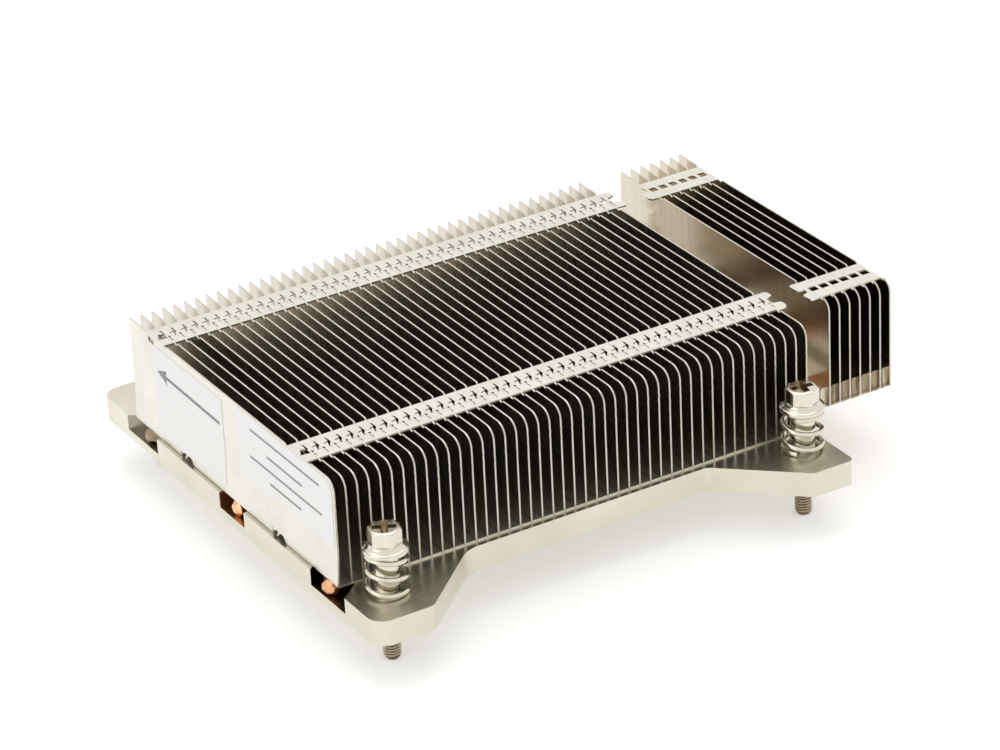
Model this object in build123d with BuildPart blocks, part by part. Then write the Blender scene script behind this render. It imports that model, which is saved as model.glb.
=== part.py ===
from build123d import *
from math import cos, sin, tan, radians
import os

# Passive server CPU heatsink. Millimetres, Z up. The origin is the centre of the
# screw pattern on the plate's underside. X runs along the row of fins.

os.makedirs("parts", exist_ok=True)

# Screw pattern and base plate
SCREW_SPACING = 80.0
PLATE_THICK = 4.5
EAR_LEFT_MARGIN = 7.0
EAR_RIGHT_MARGIN = 4.6
EAR_SIDE_MARGIN = 8.4
EAR_INNER_MARGIN = 3.5
EAR_SLOPE_RUN = 13.3
BODY_INSET = 3.7
LEFT_CORNER_R = 3.0
LEFT_EAR_INNER_R = 2.0
LEFT_ROOT_R = 6.0
RIGHT_ROOT_R = 2.0
RIGHT_EAR_INNER_R = 1.5
RIGHT_CORNER_R = 1.2

SCREW_AT = SCREW_SPACING / 2
PLATE_LEFT_X = -(SCREW_AT + EAR_LEFT_MARGIN)
PLATE_RIGHT_X = SCREW_AT + EAR_RIGHT_MARGIN
EAR_Y = SCREW_AT + EAR_SIDE_MARGIN
EAR_INNER_X = SCREW_AT - EAR_INNER_MARGIN
EAR_ROOT_X = EAR_INNER_X - EAR_SLOPE_RUN
BODY_Y = SCREW_AT - BODY_INSET

# Heat pipes, flattened flush with the plate's upper face
PIPE_WIDTH = 7.8
PIPE_THICK = 2.9
PIPE_SIDE_GAP = 0.4
PIPE_WALL = 1.4
PIPE_ENTRY_Y = 32.6
PIPE_SPREAD_Y = 22.5
PIPE_STRAIGHT_END_X = 20.0
PIPE_BEND_ANGLE = 40.0
PIPE_BEND_R = 15.0
PIPE_TIP_WIDTH = 3.0
PIPE_TIP_THICK = 2.7
PIPE_EDGE_CUT = 0.85
PIPE_TIP_CUT = 0.6
PIPE_NECK_LENGTH = 6.0
PIPE_TIP_LENGTH = 1.6
PIPE_LEFT_INSET = 0.5
PIPE_RIGHT_OVERHANG = 0.8

GROOVE_WIDTH = PIPE_WIDTH + 2 * PIPE_SIDE_GAP
PIPE_INNER_Y = GROOVE_WIDTH + PIPE_WALL
PIPE_FLOOR_Z = PLATE_THICK - PIPE_THICK
PIPE_MID_Z = PIPE_FLOOR_Z + PIPE_THICK / 2
BEND_COS = cos(radians(PIPE_BEND_ANGLE))
BEND_SIN = sin(radians(PIPE_BEND_ANGLE))
BEND_TAN = tan(radians(PIPE_BEND_ANGLE))

# Main fins, each one folded sheet
FIN_THICK = 0.3
FIN_PITCH = 2.1
FIN_HEIGHT = 19.2
FIN_LEFT_MARGIN = 1.2
FIN_NEAR_MARGIN = 1.35
FIN_FAR_MARGIN = 0.35
FIN_CORNER_R = 2.2
FOLD_GAP = 0.05
FINS_PER_NODE = 2
FIRST_FIN_X = PLATE_LEFT_X + FIN_LEFT_MARGIN
MAIN_FIN_COUNT = int((PLATE_RIGHT_X - FIRST_FIN_X) / FIN_PITCH) + 1
LAST_FIN_X = FIRST_FIN_X + FIN_PITCH * (MAIN_FIN_COUNT - 1)
FIN_NEAR_Y = -BODY_Y + FIN_NEAR_MARGIN
FIN_FAR_Y = BODY_Y - FIN_FAR_MARGIN
FIN_TOP_Z = PLATE_THICK + FIN_HEIGHT
FOLD_REACH = FIN_PITCH - FIN_THICK - FOLD_GAP

# Interlocking tabs along the top and windows along the foot
TAB_LENGTH = 6.6
TAB_DROP = 0.2
TAB_NEAR_SETBACK = 8.65
TAB_FAR_SETBACK = 5.95
TAB_HOOK_LENGTH = 0.9
TAB_HOOK_DEPTH = 0.45
TAB_STEP_LENGTH = 0.5
LOCK_RECESS_WIDTH = 2.2
LOCK_RECESS_DEPTH = 1.1
LOCK_TONGUE_GAP = 0.15
ARCH_WIDTH = 3.4
ARCH_HEIGHT = 1.3
ARCH_NEAR_SETBACK = 22.05
ARCH_FAR_SETBACK = 15.95
END_FINS = 2

TAB_TOP_Z = FIN_TOP_Z - TAB_DROP
TAB_NEAR_Y = FIN_NEAR_Y + TAB_NEAR_SETBACK + TAB_LENGTH / 2
TAB_FAR_Y = FIN_FAR_Y - TAB_FAR_SETBACK - TAB_LENGTH / 2
TONGUE_WIDTH = LOCK_RECESS_WIDTH - 2 * LOCK_TONGUE_GAP
TONGUE_REACH = LOCK_RECESS_DEPTH - LOCK_TONGUE_GAP
ARCH_NEAR_Y = FIN_NEAR_Y + ARCH_NEAR_SETBACK
ARCH_FAR_Y = FIN_FAR_Y - ARCH_FAR_SETBACK

# Outboard fins, carried past the plate's edge on the pipes and folded the other way
OUTBOARD_COUNT = 7
BLOCK_GAP = 8.55
OUTBOARD_DROP = 0.66
OUTBOARD_NEAR_MARGIN = 3.2
OUTBOARD_FAR_MARGIN = 5.25
OUTBOARD_CORNER_R = 2.1
SADDLE_CLEARANCE = 0.2
SIDE_TAB_HEIGHT = 3.6
SIDE_TAB_CHAMFER = 0.5
SIDE_TAB_SETBACK = 0.4
OUTBOARD_RECESS_WIDTH = 1.3
OUTBOARD_RECESS_DEPTH = 1.2
OUTBOARD_RECESS_SHIFT = 0.4

OUTBOARD_FIRST_X = LAST_FIN_X + BLOCK_GAP
OUTBOARD_LAST_X = OUTBOARD_FIRST_X + FIN_PITCH * (OUTBOARD_COUNT - 1)
OUTBOARD_NEAR_Y = TAB_NEAR_Y - TAB_LENGTH / 2 - OUTBOARD_NEAR_MARGIN
OUTBOARD_FAR_Y = TAB_FAR_Y + TAB_LENGTH / 2 + OUTBOARD_FAR_MARGIN
OUTBOARD_BOTTOM_Z = PLATE_THICK - OUTBOARD_DROP
SADDLE_WIDTH = PIPE_WIDTH + 2 * SADDLE_CLEARANCE
PIPE_RIGHT_X = OUTBOARD_LAST_X + PIPE_RIGHT_OVERHANG

# Captive spring screws
SHANK_R = 2.1
SHANK_FIT = 0.08
FLANGE_R = 3.9
FLANGE_RIM = 0.8
FLANGE_HEIGHT = 1.6
HEX_FLATS = 5.5
HEAD_HEIGHT = 2.6
HEAD_CHAMFER = 0.4
RECESS_LENGTH = 4.2
RECESS_WIDTH = 0.9
RECESS_DEPTH = 1.3
STUB_R = 1.5
STUB_LENGTH = 7.8
STUB_CHAMFER = 0.4
SHANK_END_DEPTH = 1.3
RING_R = 3.3
RING_THICK = 0.6
RING_GAP = 0.05
RING_GROOVE_DEPTH = 0.3
RING_SEAT_R = 4.1
RING_SEAT_DEPTH = 0.9
RING_MOUTH = 2.6
SPRING_HEIGHT = 7.35
SPRING_OD = 7.5
SPRING_WIRE = 1.0
SPRING_TURNS = 2.25
SPRING_WIRE_SIDES = 8
SPRING_TOP_GAP = 0.05

SPRING_TOP_Z = PLATE_THICK + SPRING_HEIGHT
FLANGE_BOTTOM_Z = SPRING_TOP_Z + SPRING_TOP_GAP
FLANGE_TOP_Z = FLANGE_BOTTOM_Z + FLANGE_HEIGHT
HEAD_TOP_Z = FLANGE_TOP_Z + HEAD_HEIGHT
RING_TOP_Z = RING_SEAT_DEPTH - RING_GAP
RING_BOTTOM_Z = RING_TOP_Z - RING_THICK
GROOVE_TOP_Z = RING_TOP_Z + RING_GAP
GROOVE_BOTTOM_Z = RING_BOTTOM_Z - RING_GAP
RING_CORE_R = SHANK_R - RING_GROOVE_DEPTH
SPRING_MEAN_R = (SPRING_OD - SPRING_WIRE) / 2
SPRING_RISE = SPRING_HEIGHT - SPRING_WIRE

# Stickers on the first fin
LABEL_THICK = 0.1
FAR_LABEL_LENGTH = 24.8
FAR_LABEL_HEIGHT = 15.8
FAR_LABEL_MARGIN = 7.75
FAR_LABEL_RAISE = 1.9
NEAR_LABEL_LENGTH = 31.9
NEAR_LABEL_HEIGHT = 12.0
NEAR_LABEL_MARGIN = 0.65
NEAR_LABEL_RAISE = 6.8
NEAR_LABEL_CORNER_R = 2.0

SCREW_CORNERS = {
    "near_left": (-SCREW_AT, -SCREW_AT),
    "near_right": (SCREW_AT, -SCREW_AT),
    "far_left": (-SCREW_AT, SCREW_AT),
    "far_right": (SCREW_AT, SCREW_AT),
}

# Outer pipe route on the far side: in from the left edge, along the plate, out to
# its place under the outboard fins. The near pipe mirrors it.
LEFT_BEND_X = PLATE_LEFT_X + (PIPE_ENTRY_Y - PIPE_INNER_Y) / BEND_TAN
RIGHT_BEND_X = PIPE_STRAIGHT_END_X + (PIPE_SPREAD_Y - PIPE_INNER_Y) / BEND_TAN


def outer_route(left_x, right_x):
    left_y = PIPE_ENTRY_Y - (left_x - PLATE_LEFT_X) * BEND_TAN
    return [
        (left_x, left_y),
        (LEFT_BEND_X, PIPE_INNER_Y),
        (PIPE_STRAIGHT_END_X, PIPE_INNER_Y),
        (RIGHT_BEND_X, PIPE_SPREAD_Y),
        (right_x, PIPE_SPREAD_Y),
    ]


# Base plate, with a sunk seat under each screw hole for the retaining ring
GROOVE_RUN_OUT = 8.0
plate_points = [
    (PLATE_LEFT_X, -EAR_Y, LEFT_CORNER_R),
    (-EAR_INNER_X, -EAR_Y, LEFT_EAR_INNER_R),
    (-EAR_ROOT_X, -BODY_Y, LEFT_ROOT_R),
    (EAR_ROOT_X, -BODY_Y, RIGHT_ROOT_R),
    (EAR_INNER_X, -EAR_Y, RIGHT_EAR_INNER_R),
    (PLATE_RIGHT_X, -EAR_Y, RIGHT_CORNER_R),
    (PLATE_RIGHT_X, EAR_Y, RIGHT_CORNER_R),
    (EAR_INNER_X, EAR_Y, RIGHT_EAR_INNER_R),
    (EAR_ROOT_X, BODY_Y, RIGHT_ROOT_R),
    (-EAR_ROOT_X, BODY_Y, LEFT_ROOT_R),
    (-EAR_INNER_X, EAR_Y, LEFT_EAR_INNER_R),
    (PLATE_LEFT_X, EAR_Y, LEFT_CORNER_R),
]
with BuildPart() as base_plate:
    with BuildSketch() as plate_outline:
        with BuildLine():
            Polyline(*[(x, y) for x, y, r in plate_points], close=True)
        make_face()
        for x, y, r in plate_points:
            corner = plate_outline.vertices().sort_by_distance((x, y, 0))[0]
            fillet(corner, radius=r)
    extrude(amount=PLATE_THICK)
    with BuildSketch(Plane.XY.offset(PIPE_FLOOR_Z)) as groove_outline:
        groove_start = PLATE_LEFT_X - GROOVE_RUN_OUT
        groove_end = PLATE_RIGHT_X + GROOVE_RUN_OUT
        with BuildLine() as far_groove:
            FilletPolyline(*outer_route(groove_start, groove_end), radius=PIPE_BEND_R)
        trace(line_width=GROOVE_WIDTH)
        mirror(about=Plane.XZ)
        with Locations(((groove_start + groove_end) / 2, 0)):
            Rectangle(groove_end - groove_start, GROOVE_WIDTH)
    extrude(amount=PIPE_THICK, mode=Mode.SUBTRACT)
    with Locations(*[(x, y) for x, y in SCREW_CORNERS.values()]):
        Cylinder(
            SHANK_R + SHANK_FIT,
            PLATE_THICK,
            align=(Align.CENTER, Align.CENTER, Align.MIN),
            mode=Mode.SUBTRACT,
        )
        Cylinder(
            RING_SEAT_R,
            RING_SEAT_DEPTH,
            align=(Align.CENTER, Align.CENTER, Align.MIN),
            mode=Mode.SUBTRACT,
        )
base_plate.part.label = "base_plate"
export_step(base_plate.part, "parts/base_plate.step")

# Heat pipes: a flattened run with a necked, rounded tip at each end
NECK_AND_TIP = PIPE_NECK_LENGTH + PIPE_TIP_LENGTH
LEFT_NECK_X = PLATE_LEFT_X + PIPE_LEFT_INSET + NECK_AND_TIP
RIGHT_NECK_X = PIPE_RIGHT_X - NECK_AND_TIP
OUTER_LEFT_NECK_X = PLATE_LEFT_X + PIPE_LEFT_INSET + NECK_AND_TIP * BEND_COS
far_left_y = PIPE_ENTRY_Y - (OUTER_LEFT_NECK_X - PLATE_LEFT_X) * BEND_TAN
end_sections = (
    (0, PIPE_WIDTH, PIPE_THICK),
    (PIPE_NECK_LENGTH, PIPE_TIP_WIDTH, PIPE_TIP_THICK),
)

middle_ends = [
    Plane(origin=(LEFT_NECK_X, 0, PIPE_MID_Z), x_dir=(0, 1, 0), z_dir=(-1, 0, 0)),
    Plane(origin=(RIGHT_NECK_X, 0, PIPE_MID_Z), x_dir=(0, 1, 0), z_dir=(1, 0, 0)),
]
outer_ends = [
    Plane(
        origin=(OUTER_LEFT_NECK_X, far_left_y, PIPE_MID_Z),
        x_dir=(BEND_SIN, BEND_COS, 0),
        z_dir=(-BEND_COS, BEND_SIN, 0),
    ),
    Plane(
        origin=(RIGHT_NECK_X, PIPE_SPREAD_Y, PIPE_MID_Z),
        x_dir=(0, 1, 0),
        z_dir=(1, 0, 0),
    ),
]

with BuildPart() as heat_pipe_middle:
    with BuildSketch(middle_ends[0]) as run_section:
        Rectangle(PIPE_WIDTH, PIPE_THICK)
        chamfer(run_section.vertices(), length=PIPE_EDGE_CUT)
    extrude(amount=-(RIGHT_NECK_X - LEFT_NECK_X))
    for end in middle_ends:
        for reach, width, thick in end_sections:
            with BuildSketch(end.offset(reach)) as section:
                Rectangle(width, thick)
                chamfer(section.vertices(), length=PIPE_EDGE_CUT)
        loft(ruled=True)
        with BuildSketch(end.offset(PIPE_NECK_LENGTH)) as section:
            Rectangle(PIPE_TIP_WIDTH, PIPE_TIP_THICK)
            chamfer(section.vertices(), length=PIPE_EDGE_CUT)
        extrude(amount=PIPE_TIP_LENGTH)
        tip_face = heat_pipe_middle.faces().sort_by_distance(end.origin + end.z_dir * NECK_AND_TIP)[0]
        chamfer(tip_face.edges(), length=PIPE_TIP_CUT)
heat_pipe_middle.part.label = "heat_pipe_middle"
export_step(heat_pipe_middle.part, "parts/heat_pipe_middle.step")

with BuildPart() as heat_pipe_far:
    with BuildLine(Plane.XY.offset(PIPE_MID_Z)) as pipe_run:
        FilletPolyline(*outer_route(OUTER_LEFT_NECK_X, RIGHT_NECK_X), radius=PIPE_BEND_R)
    with BuildSketch(outer_ends[0]) as run_section:
        Rectangle(PIPE_WIDTH, PIPE_THICK)
        chamfer(run_section.vertices(), length=PIPE_EDGE_CUT)
    sweep(path=pipe_run.wires()[0])
    for end in outer_ends:
        for reach, width, thick in end_sections:
            with BuildSketch(end.offset(reach)) as section:
                Rectangle(width, thick)
                chamfer(section.vertices(), length=PIPE_EDGE_CUT)
        loft(ruled=True)
        with BuildSketch(end.offset(PIPE_NECK_LENGTH)) as section:
            Rectangle(PIPE_TIP_WIDTH, PIPE_TIP_THICK)
            chamfer(section.vertices(), length=PIPE_EDGE_CUT)
        extrude(amount=PIPE_TIP_LENGTH)
        tip_face = heat_pipe_far.faces().sort_by_distance(end.origin + end.z_dir * NECK_AND_TIP)[0]
        chamfer(tip_face.edges(), length=PIPE_TIP_CUT)
heat_pipe_far.part.label = "heat_pipe_far"
export_step(heat_pipe_far.part, "parts/heat_pipe_far.step")

with BuildPart() as heat_pipe_near:
    add(heat_pipe_far.part)
    mirror(about=Plane.XZ, mode=Mode.REPLACE)
heat_pipe_near.part.label = "heat_pipe_near"
export_step(heat_pipe_near.part, "parts/heat_pipe_near.step")


def sheet_points(near_y, far_y, bottom_z):
    """Outline of a fin's upright sheet, with a sloped relief on each side of a top tab."""
    points = [(near_y, bottom_z), (near_y, FIN_TOP_Z)]
    for tab_y in (TAB_NEAR_Y, TAB_FAR_Y):
        near_end = tab_y - TAB_LENGTH / 2
        far_end = tab_y + TAB_LENGTH / 2
        fold_z = TAB_TOP_Z - FIN_THICK
        points += [
            (near_end - TAB_HOOK_LENGTH, FIN_TOP_Z),
            (near_end - TAB_HOOK_LENGTH, FIN_TOP_Z - TAB_HOOK_DEPTH),
            (near_end, TAB_TOP_Z),
            (near_end, fold_z),
            (far_end, fold_z),
            (far_end, TAB_TOP_Z),
            (far_end + TAB_STEP_LENGTH, FIN_TOP_Z),
        ]
    points += [(far_y, FIN_TOP_Z), (far_y, bottom_z)]
    return points


# Main fin blanks, folded toward +X. The one for the end has windows along its foot,
# and the locked one has tongues that fill the recesses of the fin before it.
main_blanks = {}
for blank_name, at_end in (("end", True), ("locked", False)):
    with BuildPart() as main_fin:
        with BuildSketch(Plane.YZ.offset(-FIN_THICK / 2)) as main_sheet:
            with BuildLine():
                Polyline(*sheet_points(FIN_NEAR_Y, FIN_FAR_Y, PLATE_THICK), close=True)
            make_face()
            corner = main_sheet.vertices().sort_by_distance((FIN_NEAR_Y, FIN_TOP_Z, 0))[0]
            fillet(corner, radius=FIN_CORNER_R)
            if at_end:
                with Locations((ARCH_NEAR_Y, PLATE_THICK), (ARCH_FAR_Y, PLATE_THICK)):
                    Rectangle(
                        ARCH_WIDTH,
                        ARCH_HEIGHT,
                        align=(Align.CENTER, Align.MIN),
                        mode=Mode.SUBTRACT,
                    )
        extrude(amount=FIN_THICK)
        with BuildSketch(Plane.XY.offset(PLATE_THICK)) as foot_plan:
            with Locations((-FIN_THICK / 2, FIN_NEAR_Y)):
                Rectangle(
                    FIN_THICK + FOLD_REACH,
                    FIN_FAR_Y - FIN_NEAR_Y,
                    align=(Align.MIN, Align.MIN),
                )
            if at_end:
                with Locations((-FIN_THICK / 2, ARCH_NEAR_Y), (-FIN_THICK / 2, ARCH_FAR_Y)):
                    Rectangle(
                        2 * FIN_THICK,
                        ARCH_WIDTH,
                        align=(Align.MIN, Align.CENTER),
                        mode=Mode.SUBTRACT,
                    )
        extrude(amount=FIN_THICK)
        with BuildSketch(Plane.XY.offset(TAB_TOP_Z - FIN_THICK)) as tab_plan:
            with Locations((-FIN_THICK / 2, TAB_NEAR_Y), (-FIN_THICK / 2, TAB_FAR_Y)):
                Rectangle(
                    FIN_THICK + FOLD_REACH,
                    TAB_LENGTH,
                    align=(Align.MIN, Align.CENTER),
                )
            fold_end_x = FIN_THICK / 2 + FOLD_REACH
            with Locations((fold_end_x, TAB_NEAR_Y), (fold_end_x, TAB_FAR_Y)):
                Rectangle(
                    LOCK_RECESS_DEPTH,
                    LOCK_RECESS_WIDTH,
                    align=(Align.MAX, Align.CENTER),
                    mode=Mode.SUBTRACT,
                )
            if not at_end:
                with Locations((-FIN_THICK / 2, TAB_NEAR_Y), (-FIN_THICK / 2, TAB_FAR_Y)):
                    Rectangle(
                        TONGUE_REACH,
                        TONGUE_WIDTH,
                        align=(Align.MAX, Align.CENTER),
                    )
        extrude(amount=FIN_THICK)
    main_blanks[blank_name] = main_fin.part

for first in range(0, MAIN_FIN_COUNT, FINS_PER_NODE):
    node_fins = range(first, min(first + FINS_PER_NODE, MAIN_FIN_COUNT))
    blank_name = "end" if first < END_FINS else "locked"
    with BuildPart() as fin_pair:
        with Locations(*[(FIRST_FIN_X + FIN_PITCH * k, 0, 0) for k in node_fins]):
            add(main_blanks[blank_name])
    pair_name = f"main_fin_pair_{first // FINS_PER_NODE + 1:02d}"
    fin_pair.part.label = pair_name
    export_step(fin_pair.part, f"parts/{pair_name}.step")

# Outboard fin blank, folded toward -X, with saddles over the three pipes
saddle_ys = (-PIPE_SPREAD_Y, 0, PIPE_SPREAD_Y)
with BuildPart() as outboard_blank:
    with BuildSketch(Plane.YZ.offset(-FIN_THICK / 2)) as outboard_sheet:
        with BuildLine():
            Polyline(
                *sheet_points(OUTBOARD_NEAR_Y, OUTBOARD_FAR_Y, OUTBOARD_BOTTOM_Z),
                close=True,
            )
        make_face()
        corner = outboard_sheet.vertices().sort_by_distance((OUTBOARD_NEAR_Y, FIN_TOP_Z, 0))[0]
        fillet(corner, radius=OUTBOARD_CORNER_R)
        with Locations(*[(y, OUTBOARD_BOTTOM_Z) for y in saddle_ys]):
            Rectangle(
                SADDLE_WIDTH,
                OUTBOARD_DROP,
                align=(Align.CENTER, Align.MIN),
                mode=Mode.SUBTRACT,
            )
    extrude(amount=FIN_THICK)
    with BuildSketch(Plane.XY.offset(OUTBOARD_BOTTOM_Z)) as low_foot_plan:
        with Locations((FIN_THICK / 2, OUTBOARD_NEAR_Y)):
            Rectangle(
                FIN_THICK + FOLD_REACH,
                OUTBOARD_FAR_Y - OUTBOARD_NEAR_Y,
                align=(Align.MAX, Align.MIN),
            )
        with Locations(*[(0, y) for y in saddle_ys]):
            Rectangle(2 * FIN_PITCH + 2 * FIN_THICK, SADDLE_WIDTH, mode=Mode.SUBTRACT)
    extrude(amount=FIN_THICK)
    with BuildSketch(Plane.XY.offset(PLATE_THICK)) as saddle_plan:
        with Locations(*[(FIN_THICK / 2, y) for y in saddle_ys]):
            Rectangle(
                FIN_THICK + FOLD_REACH,
                SADDLE_WIDTH,
                align=(Align.MAX, Align.CENTER),
            )
    extrude(amount=FIN_THICK)
    with BuildSketch(Plane.XY.offset(TAB_TOP_Z - FIN_THICK)) as outboard_tab_plan:
        with Locations((FIN_THICK / 2, TAB_NEAR_Y), (FIN_THICK / 2, TAB_FAR_Y)):
            Rectangle(
                FIN_THICK + FOLD_REACH,
                TAB_LENGTH,
                align=(Align.MAX, Align.CENTER),
            )
        fold_end_x = -FIN_THICK / 2 - FOLD_REACH
        recess_ys = (TAB_NEAR_Y + OUTBOARD_RECESS_SHIFT, TAB_FAR_Y + OUTBOARD_RECESS_SHIFT)
        with Locations(*[(fold_end_x, y) for y in recess_ys]):
            Rectangle(
                OUTBOARD_RECESS_DEPTH,
                OUTBOARD_RECESS_WIDTH,
                align=(Align.MIN, Align.CENTER),
                mode=Mode.SUBTRACT,
            )
    extrude(amount=FIN_THICK)
    with BuildSketch(Plane.XZ.offset(-OUTBOARD_NEAR_Y - SIDE_TAB_SETBACK)) as side_tab_face:
        with BuildLine():
            Polyline(
                (FIN_THICK / 2, OUTBOARD_BOTTOM_Z),
                (-FIN_THICK / 2 - FOLD_REACH, OUTBOARD_BOTTOM_Z),
                (
                    -FIN_THICK / 2 - FOLD_REACH,
                    OUTBOARD_BOTTOM_Z + SIDE_TAB_HEIGHT - SIDE_TAB_CHAMFER,
                ),
                (
                    -FIN_THICK / 2 - FOLD_REACH + SIDE_TAB_CHAMFER,
                    OUTBOARD_BOTTOM_Z + SIDE_TAB_HEIGHT,
                ),
                (FIN_THICK / 2, OUTBOARD_BOTTOM_Z + SIDE_TAB_HEIGHT),
                close=True,
            )
        make_face()
    extrude(amount=-FIN_THICK)

for k in range(OUTBOARD_COUNT):
    with BuildPart() as outboard_fin:
        with Locations((OUTBOARD_FIRST_X + FIN_PITCH * k, 0, 0)):
            add(outboard_blank.part)
    fin_name = f"outboard_fin_{k + 1}"
    outboard_fin.part.label = fin_name
    export_step(outboard_fin.part, f"parts/{fin_name}.step")

# Captive screw: stub, grooved shank, flange and hex head with a cross recess
with BuildPart() as screw_blank:
    with BuildSketch(Plane.XZ):
        with BuildLine():
            Polyline(
                (0, -STUB_LENGTH),
                (STUB_R - STUB_CHAMFER, -STUB_LENGTH),
                (STUB_R, -STUB_LENGTH + STUB_CHAMFER),
                (STUB_R, -SHANK_END_DEPTH),
                (SHANK_R, -SHANK_END_DEPTH),
                (SHANK_R, GROOVE_BOTTOM_Z),
                (RING_CORE_R, GROOVE_BOTTOM_Z),
                (RING_CORE_R, GROOVE_TOP_Z),
                (SHANK_R, GROOVE_TOP_Z),
                (SHANK_R, FLANGE_BOTTOM_Z),
                (FLANGE_R, FLANGE_BOTTOM_Z),
                (FLANGE_R, FLANGE_BOTTOM_Z + FLANGE_RIM),
                (HEX_FLATS / 2, FLANGE_TOP_Z),
                (0, FLANGE_TOP_Z),
                close=True,
            )
        make_face()
    revolve(axis=Axis.Z)
    with BuildSketch(Plane.XY.offset(FLANGE_TOP_Z - FLANGE_HEIGHT + FLANGE_RIM)):
        RegularPolygon(HEX_FLATS / 2, 6, major_radius=False)
    extrude(amount=HEAD_HEIGHT + FLANGE_HEIGHT - FLANGE_RIM)
    chamfer(screw_blank.faces().sort_by(Axis.Z)[-1].edges(), length=HEAD_CHAMFER)
    with BuildSketch(Plane.XY.offset(HEAD_TOP_Z)):
        Rectangle(RECESS_LENGTH, RECESS_WIDTH)
        Rectangle(RECESS_WIDTH, RECESS_LENGTH)
    extrude(amount=-RECESS_DEPTH, mode=Mode.SUBTRACT)

with BuildPart() as spring_blank:
    with BuildLine() as coil:
        Helix(
            pitch=SPRING_RISE / SPRING_TURNS,
            height=SPRING_RISE,
            radius=SPRING_MEAN_R,
            center=(0, 0, PLATE_THICK + SPRING_WIRE / 2),
            lefthand=True,
        )
    with BuildSketch(Plane(origin=coil.line @ 0, z_dir=coil.line % 0)):
        RegularPolygon(SPRING_WIRE / 2, SPRING_WIRE_SIDES)
    sweep(is_frenet=True)

with BuildPart() as ring_blank:
    with BuildSketch(Plane.XY.offset(RING_BOTTOM_Z)):
        Circle(RING_R)
        Circle(RING_CORE_R + RING_GAP, mode=Mode.SUBTRACT)
        Rectangle(
            2 * RING_R,
            RING_MOUTH,
            align=(Align.MIN, Align.CENTER),
            mode=Mode.SUBTRACT,
        )
    extrude(amount=RING_THICK)

for corner_name, (screw_x, screw_y) in SCREW_CORNERS.items():
    fittings = (
        ("screw", screw_blank.part),
        ("spring", spring_blank.part),
        ("retaining_ring", ring_blank.part),
    )
    for fitting_name, blank in fittings:
        with BuildPart() as fitting:
            with Locations((screw_x, screw_y, 0)):
                add(blank)
        node_name = f"{fitting_name}_{corner_name}"
        fitting.part.label = node_name
        export_step(fitting.part, f"parts/{node_name}.step")

# Stickers on the first fin's outer face
LABEL_X = FIRST_FIN_X - FIN_THICK / 2 - LABEL_THICK
with BuildPart() as far_label:
    with BuildSketch(Plane.YZ.offset(LABEL_X)):
        with Locations((FIN_FAR_Y - FAR_LABEL_MARGIN, PLATE_THICK + FAR_LABEL_RAISE)):
            Rectangle(
                FAR_LABEL_LENGTH,
                FAR_LABEL_HEIGHT,
                align=(Align.MAX, Align.MIN),
            )
    extrude(amount=LABEL_THICK)
far_label.part.label = "far_label"
export_step(far_label.part, "parts/far_label.step")

near_label_y = FIN_NEAR_Y + NEAR_LABEL_MARGIN
near_label_top_z = PLATE_THICK + NEAR_LABEL_RAISE + NEAR_LABEL_HEIGHT
with BuildPart() as near_label:
    with BuildSketch(Plane.YZ.offset(LABEL_X)) as near_label_face:
        with Locations((near_label_y, near_label_top_z)):
            Rectangle(
                NEAR_LABEL_LENGTH,
                NEAR_LABEL_HEIGHT,
                align=(Align.MIN, Align.MAX),
            )
        corner = near_label_face.vertices().sort_by_distance((near_label_y, near_label_top_z, 0))[0]
        fillet(corner, radius=NEAR_LABEL_CORNER_R)
    extrude(amount=LABEL_THICK)
near_label.part.label = "near_label"
export_step(near_label.part, "parts/near_label.step")
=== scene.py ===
from math import ceil, cos, pi, radians, sin

import bmesh
import bpy
from mathutils import Matrix, Vector
from mathutils.geometry import tessellate_polygon


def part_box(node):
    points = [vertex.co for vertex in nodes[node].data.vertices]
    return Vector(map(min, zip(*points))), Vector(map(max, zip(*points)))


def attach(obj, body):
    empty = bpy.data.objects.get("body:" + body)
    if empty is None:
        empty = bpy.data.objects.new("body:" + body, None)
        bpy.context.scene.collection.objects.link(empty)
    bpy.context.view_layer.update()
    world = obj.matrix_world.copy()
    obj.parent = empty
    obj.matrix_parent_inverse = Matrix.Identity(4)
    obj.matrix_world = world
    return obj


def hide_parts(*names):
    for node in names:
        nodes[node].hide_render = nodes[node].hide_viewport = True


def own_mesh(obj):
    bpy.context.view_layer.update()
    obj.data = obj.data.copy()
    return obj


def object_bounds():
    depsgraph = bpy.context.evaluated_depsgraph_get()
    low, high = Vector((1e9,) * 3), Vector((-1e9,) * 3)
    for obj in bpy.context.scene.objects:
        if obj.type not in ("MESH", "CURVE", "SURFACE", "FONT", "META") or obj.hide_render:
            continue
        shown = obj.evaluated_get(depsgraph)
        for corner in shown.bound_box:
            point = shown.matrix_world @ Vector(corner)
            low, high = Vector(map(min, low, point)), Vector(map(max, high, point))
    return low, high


# A passive server heatsink in a plain white studio. Lengths are in metres, apart from
# those that a comment gives in millimetres.

MM = 0.001
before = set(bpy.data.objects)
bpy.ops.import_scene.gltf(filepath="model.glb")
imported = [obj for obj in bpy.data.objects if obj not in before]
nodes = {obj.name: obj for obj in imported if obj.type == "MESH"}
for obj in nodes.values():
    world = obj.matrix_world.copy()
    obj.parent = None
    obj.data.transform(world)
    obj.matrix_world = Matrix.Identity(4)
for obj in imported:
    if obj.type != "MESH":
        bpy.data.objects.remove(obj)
cad_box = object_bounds()
CORNERS = ("near_left", "near_right", "far_left", "far_right")


# Shader helpers


def new_material(name, color, roughness, metallic=1.0):
    """A material with its own node tree, and that tree's main shader."""
    material = bpy.data.materials.new(name)
    material.use_nodes = True
    shader = material.node_tree.nodes["Principled BSDF"]
    shader.inputs["Base Color"].default_value = (*color, 1.0)
    shader.inputs["Metallic"].default_value = metallic
    shader.inputs["Roughness"].default_value = roughness
    return material, shader


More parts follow.
